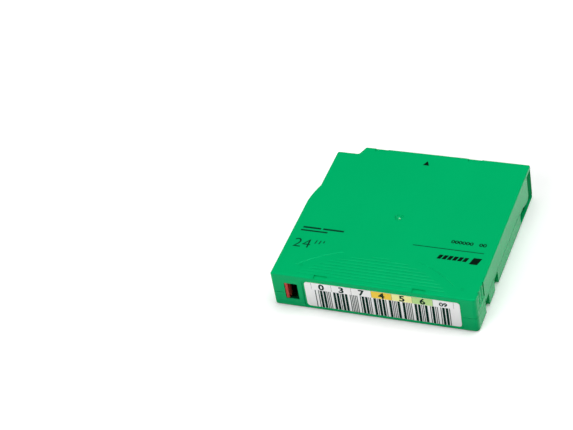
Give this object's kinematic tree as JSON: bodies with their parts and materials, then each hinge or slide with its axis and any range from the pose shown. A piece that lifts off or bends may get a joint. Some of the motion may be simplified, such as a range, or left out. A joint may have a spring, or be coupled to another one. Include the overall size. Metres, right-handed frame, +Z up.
{
  "type": "data tape cartridge",
  "caption": "Flat rectangular tape cartridge with one reel inside, a sliding corner door, a write-protect slider and a barcode label.",
  "frame": {"origin": "centre of the bounding box on the underside", "axes": "+X across the cartridge to the door side, +Y from the label end to the end that enters the drive, +Z up from the drive chuck side to the roof"},
  "size_m": [0.1054, 0.102, 0.0215],
  "materials": {
    "shell_plastic": "satin moulded",
    "door_plastic": "matte moulded",
    "slider_plastic": "satin moulded",
    "reel_plastic": "satin moulded",
    "brake_plastic": "satin moulded",
    "tape_film": "wound film",
    "steel": "ground",
    "spring_steel": "drawn",
    "screw_steel": "zinc plated",
    "board": "laminate",
    "chip_resin": "moulded",
    "label_paper": "printed"
  },
  "bodies": {
    "housing": {"top_shell": "shell_plastic", "bottom_shell": "shell_plastic", "shell_screws": "screw_steel", "barcode_label": "label_paper", "tape_leader": "tape_film", "leader_pin": "steel", "leader_clamp": "brake_plastic", "pin_spring": "spring_steel", "memory_board": "board", "memory_chip": "chip_resin", "brake_spring": "spring_steel", "door_spring": "spring_steel"},
    "reel": {"reel_hub": "reel_plastic", "upper_flange": "reel_plastic", "chuck_plate": "steel", "tape_pack": "tape_film"},
    "brake": {"brake_plate": "brake_plastic", "thrust_button": "steel"},
    "release": {"brake_release": "reel_plastic"},
    "door": {"access_door": "door_plastic"},
    "slider": {"write_protect_slider": "slider_plastic"}
  },
  "joints": [
    {"name": "reel_spin", "type": "hinge", "parent": "housing", "child": "reel", "pos_m": [-0.0014, 0.0003, 0.002], "axis": [0, 0, 1], "continuous": true},
    {"name": "brake_lift", "type": "slide", "parent": "housing", "child": "brake", "axis": [0, 0, 1], "range_m": [0, 0.0016], "stiffness_N_per_m": 250, "springref_m": -0.006, "deforming": ["brake_spring"]},
    {"name": "release_lift", "type": "slide", "parent": "reel", "child": "release", "axis": [0, 0, 1], "range_m": [0, 0.0016]},
    {"name": "door_slide", "type": "slide", "parent": "housing", "child": "door", "axis": [-0.1219, -0.9925, 0], "range_m": [0, 0.0095], "stiffness_N_per_m": 30, "springref_m": -0.01, "deforming": ["door_spring"]},
    {"name": "write_protect", "type": "slide", "parent": "housing", "child": "slider", "axis": [1, 0, 0], "range_m": [0, 0.0049]}
  ],
  "couplings": [
    {"joint": "release_lift", "follows": "brake_lift", "ratio": 1}
  ]
}
